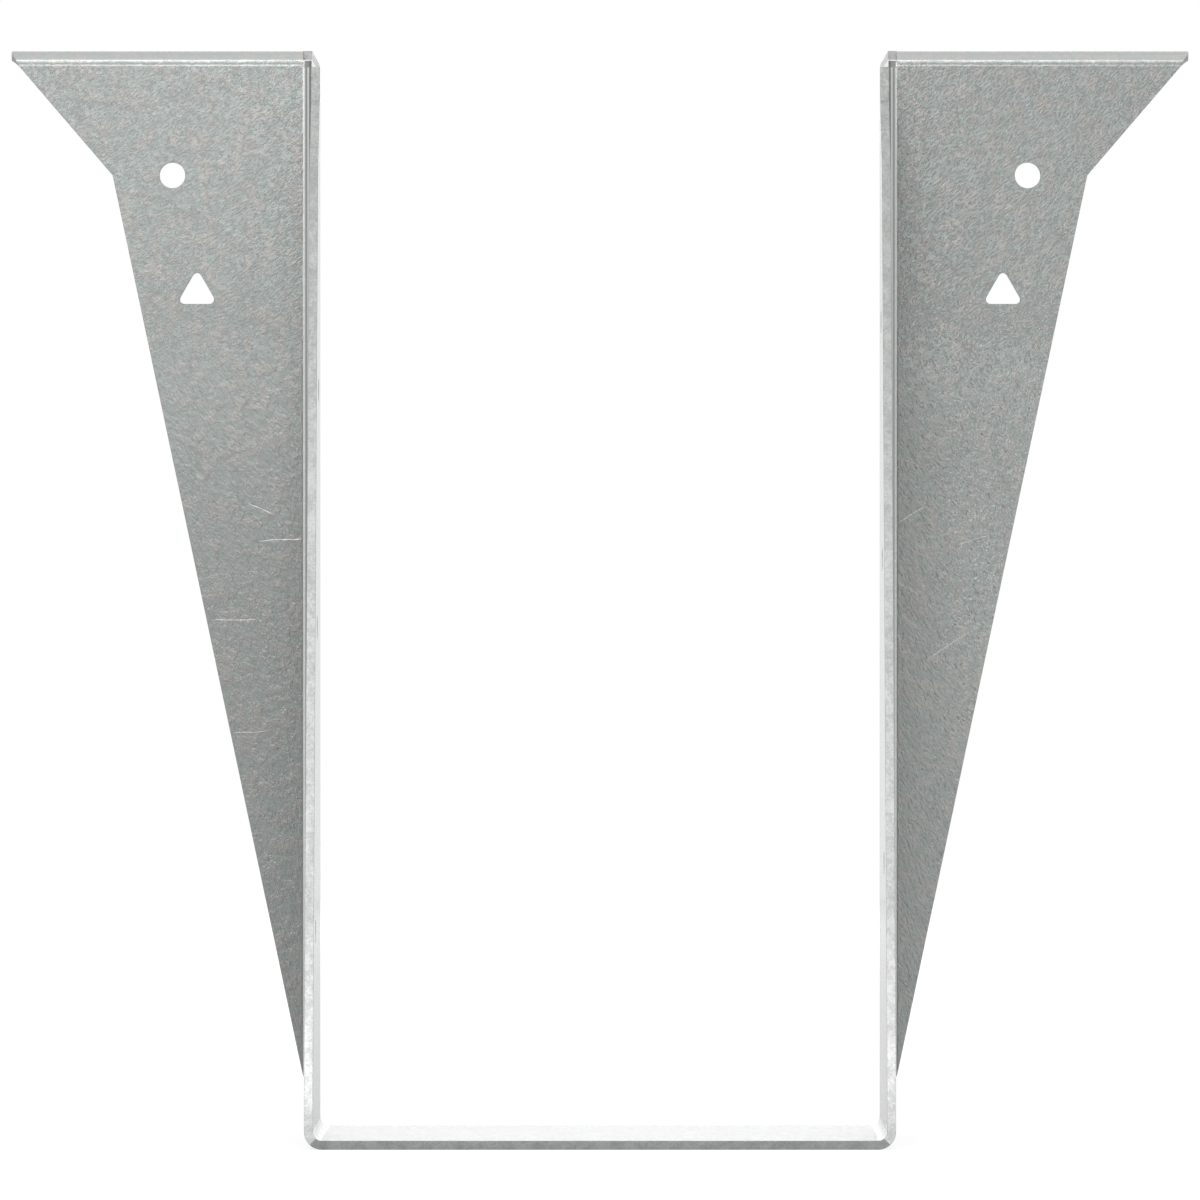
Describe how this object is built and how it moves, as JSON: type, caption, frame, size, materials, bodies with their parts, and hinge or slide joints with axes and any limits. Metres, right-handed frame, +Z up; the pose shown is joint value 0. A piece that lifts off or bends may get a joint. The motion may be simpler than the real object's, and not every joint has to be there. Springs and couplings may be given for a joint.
{
  "type": "joist hanger",
  "caption": "Folded sheet-steel hanger that carries the end of a joist in a stirrup and hooks over a header with nailed face and top flanges.",
  "frame": {"origin": "middle of the hanger's width, in the plane of the header's face, level with the underside of the seat", "axes": "+X along the header, +Y into the header and -Y along the joist, +Z up"},
  "size_m": [0.2542, 0.127, 0.2339],
  "materials": {
    "steel": "hot-dip galvanised sheet, matt grey with fine mottling and bright sheared edges"
  },
  "bodies": {
    "root": {"hanger": "steel"}
  },
  "joints": []
}
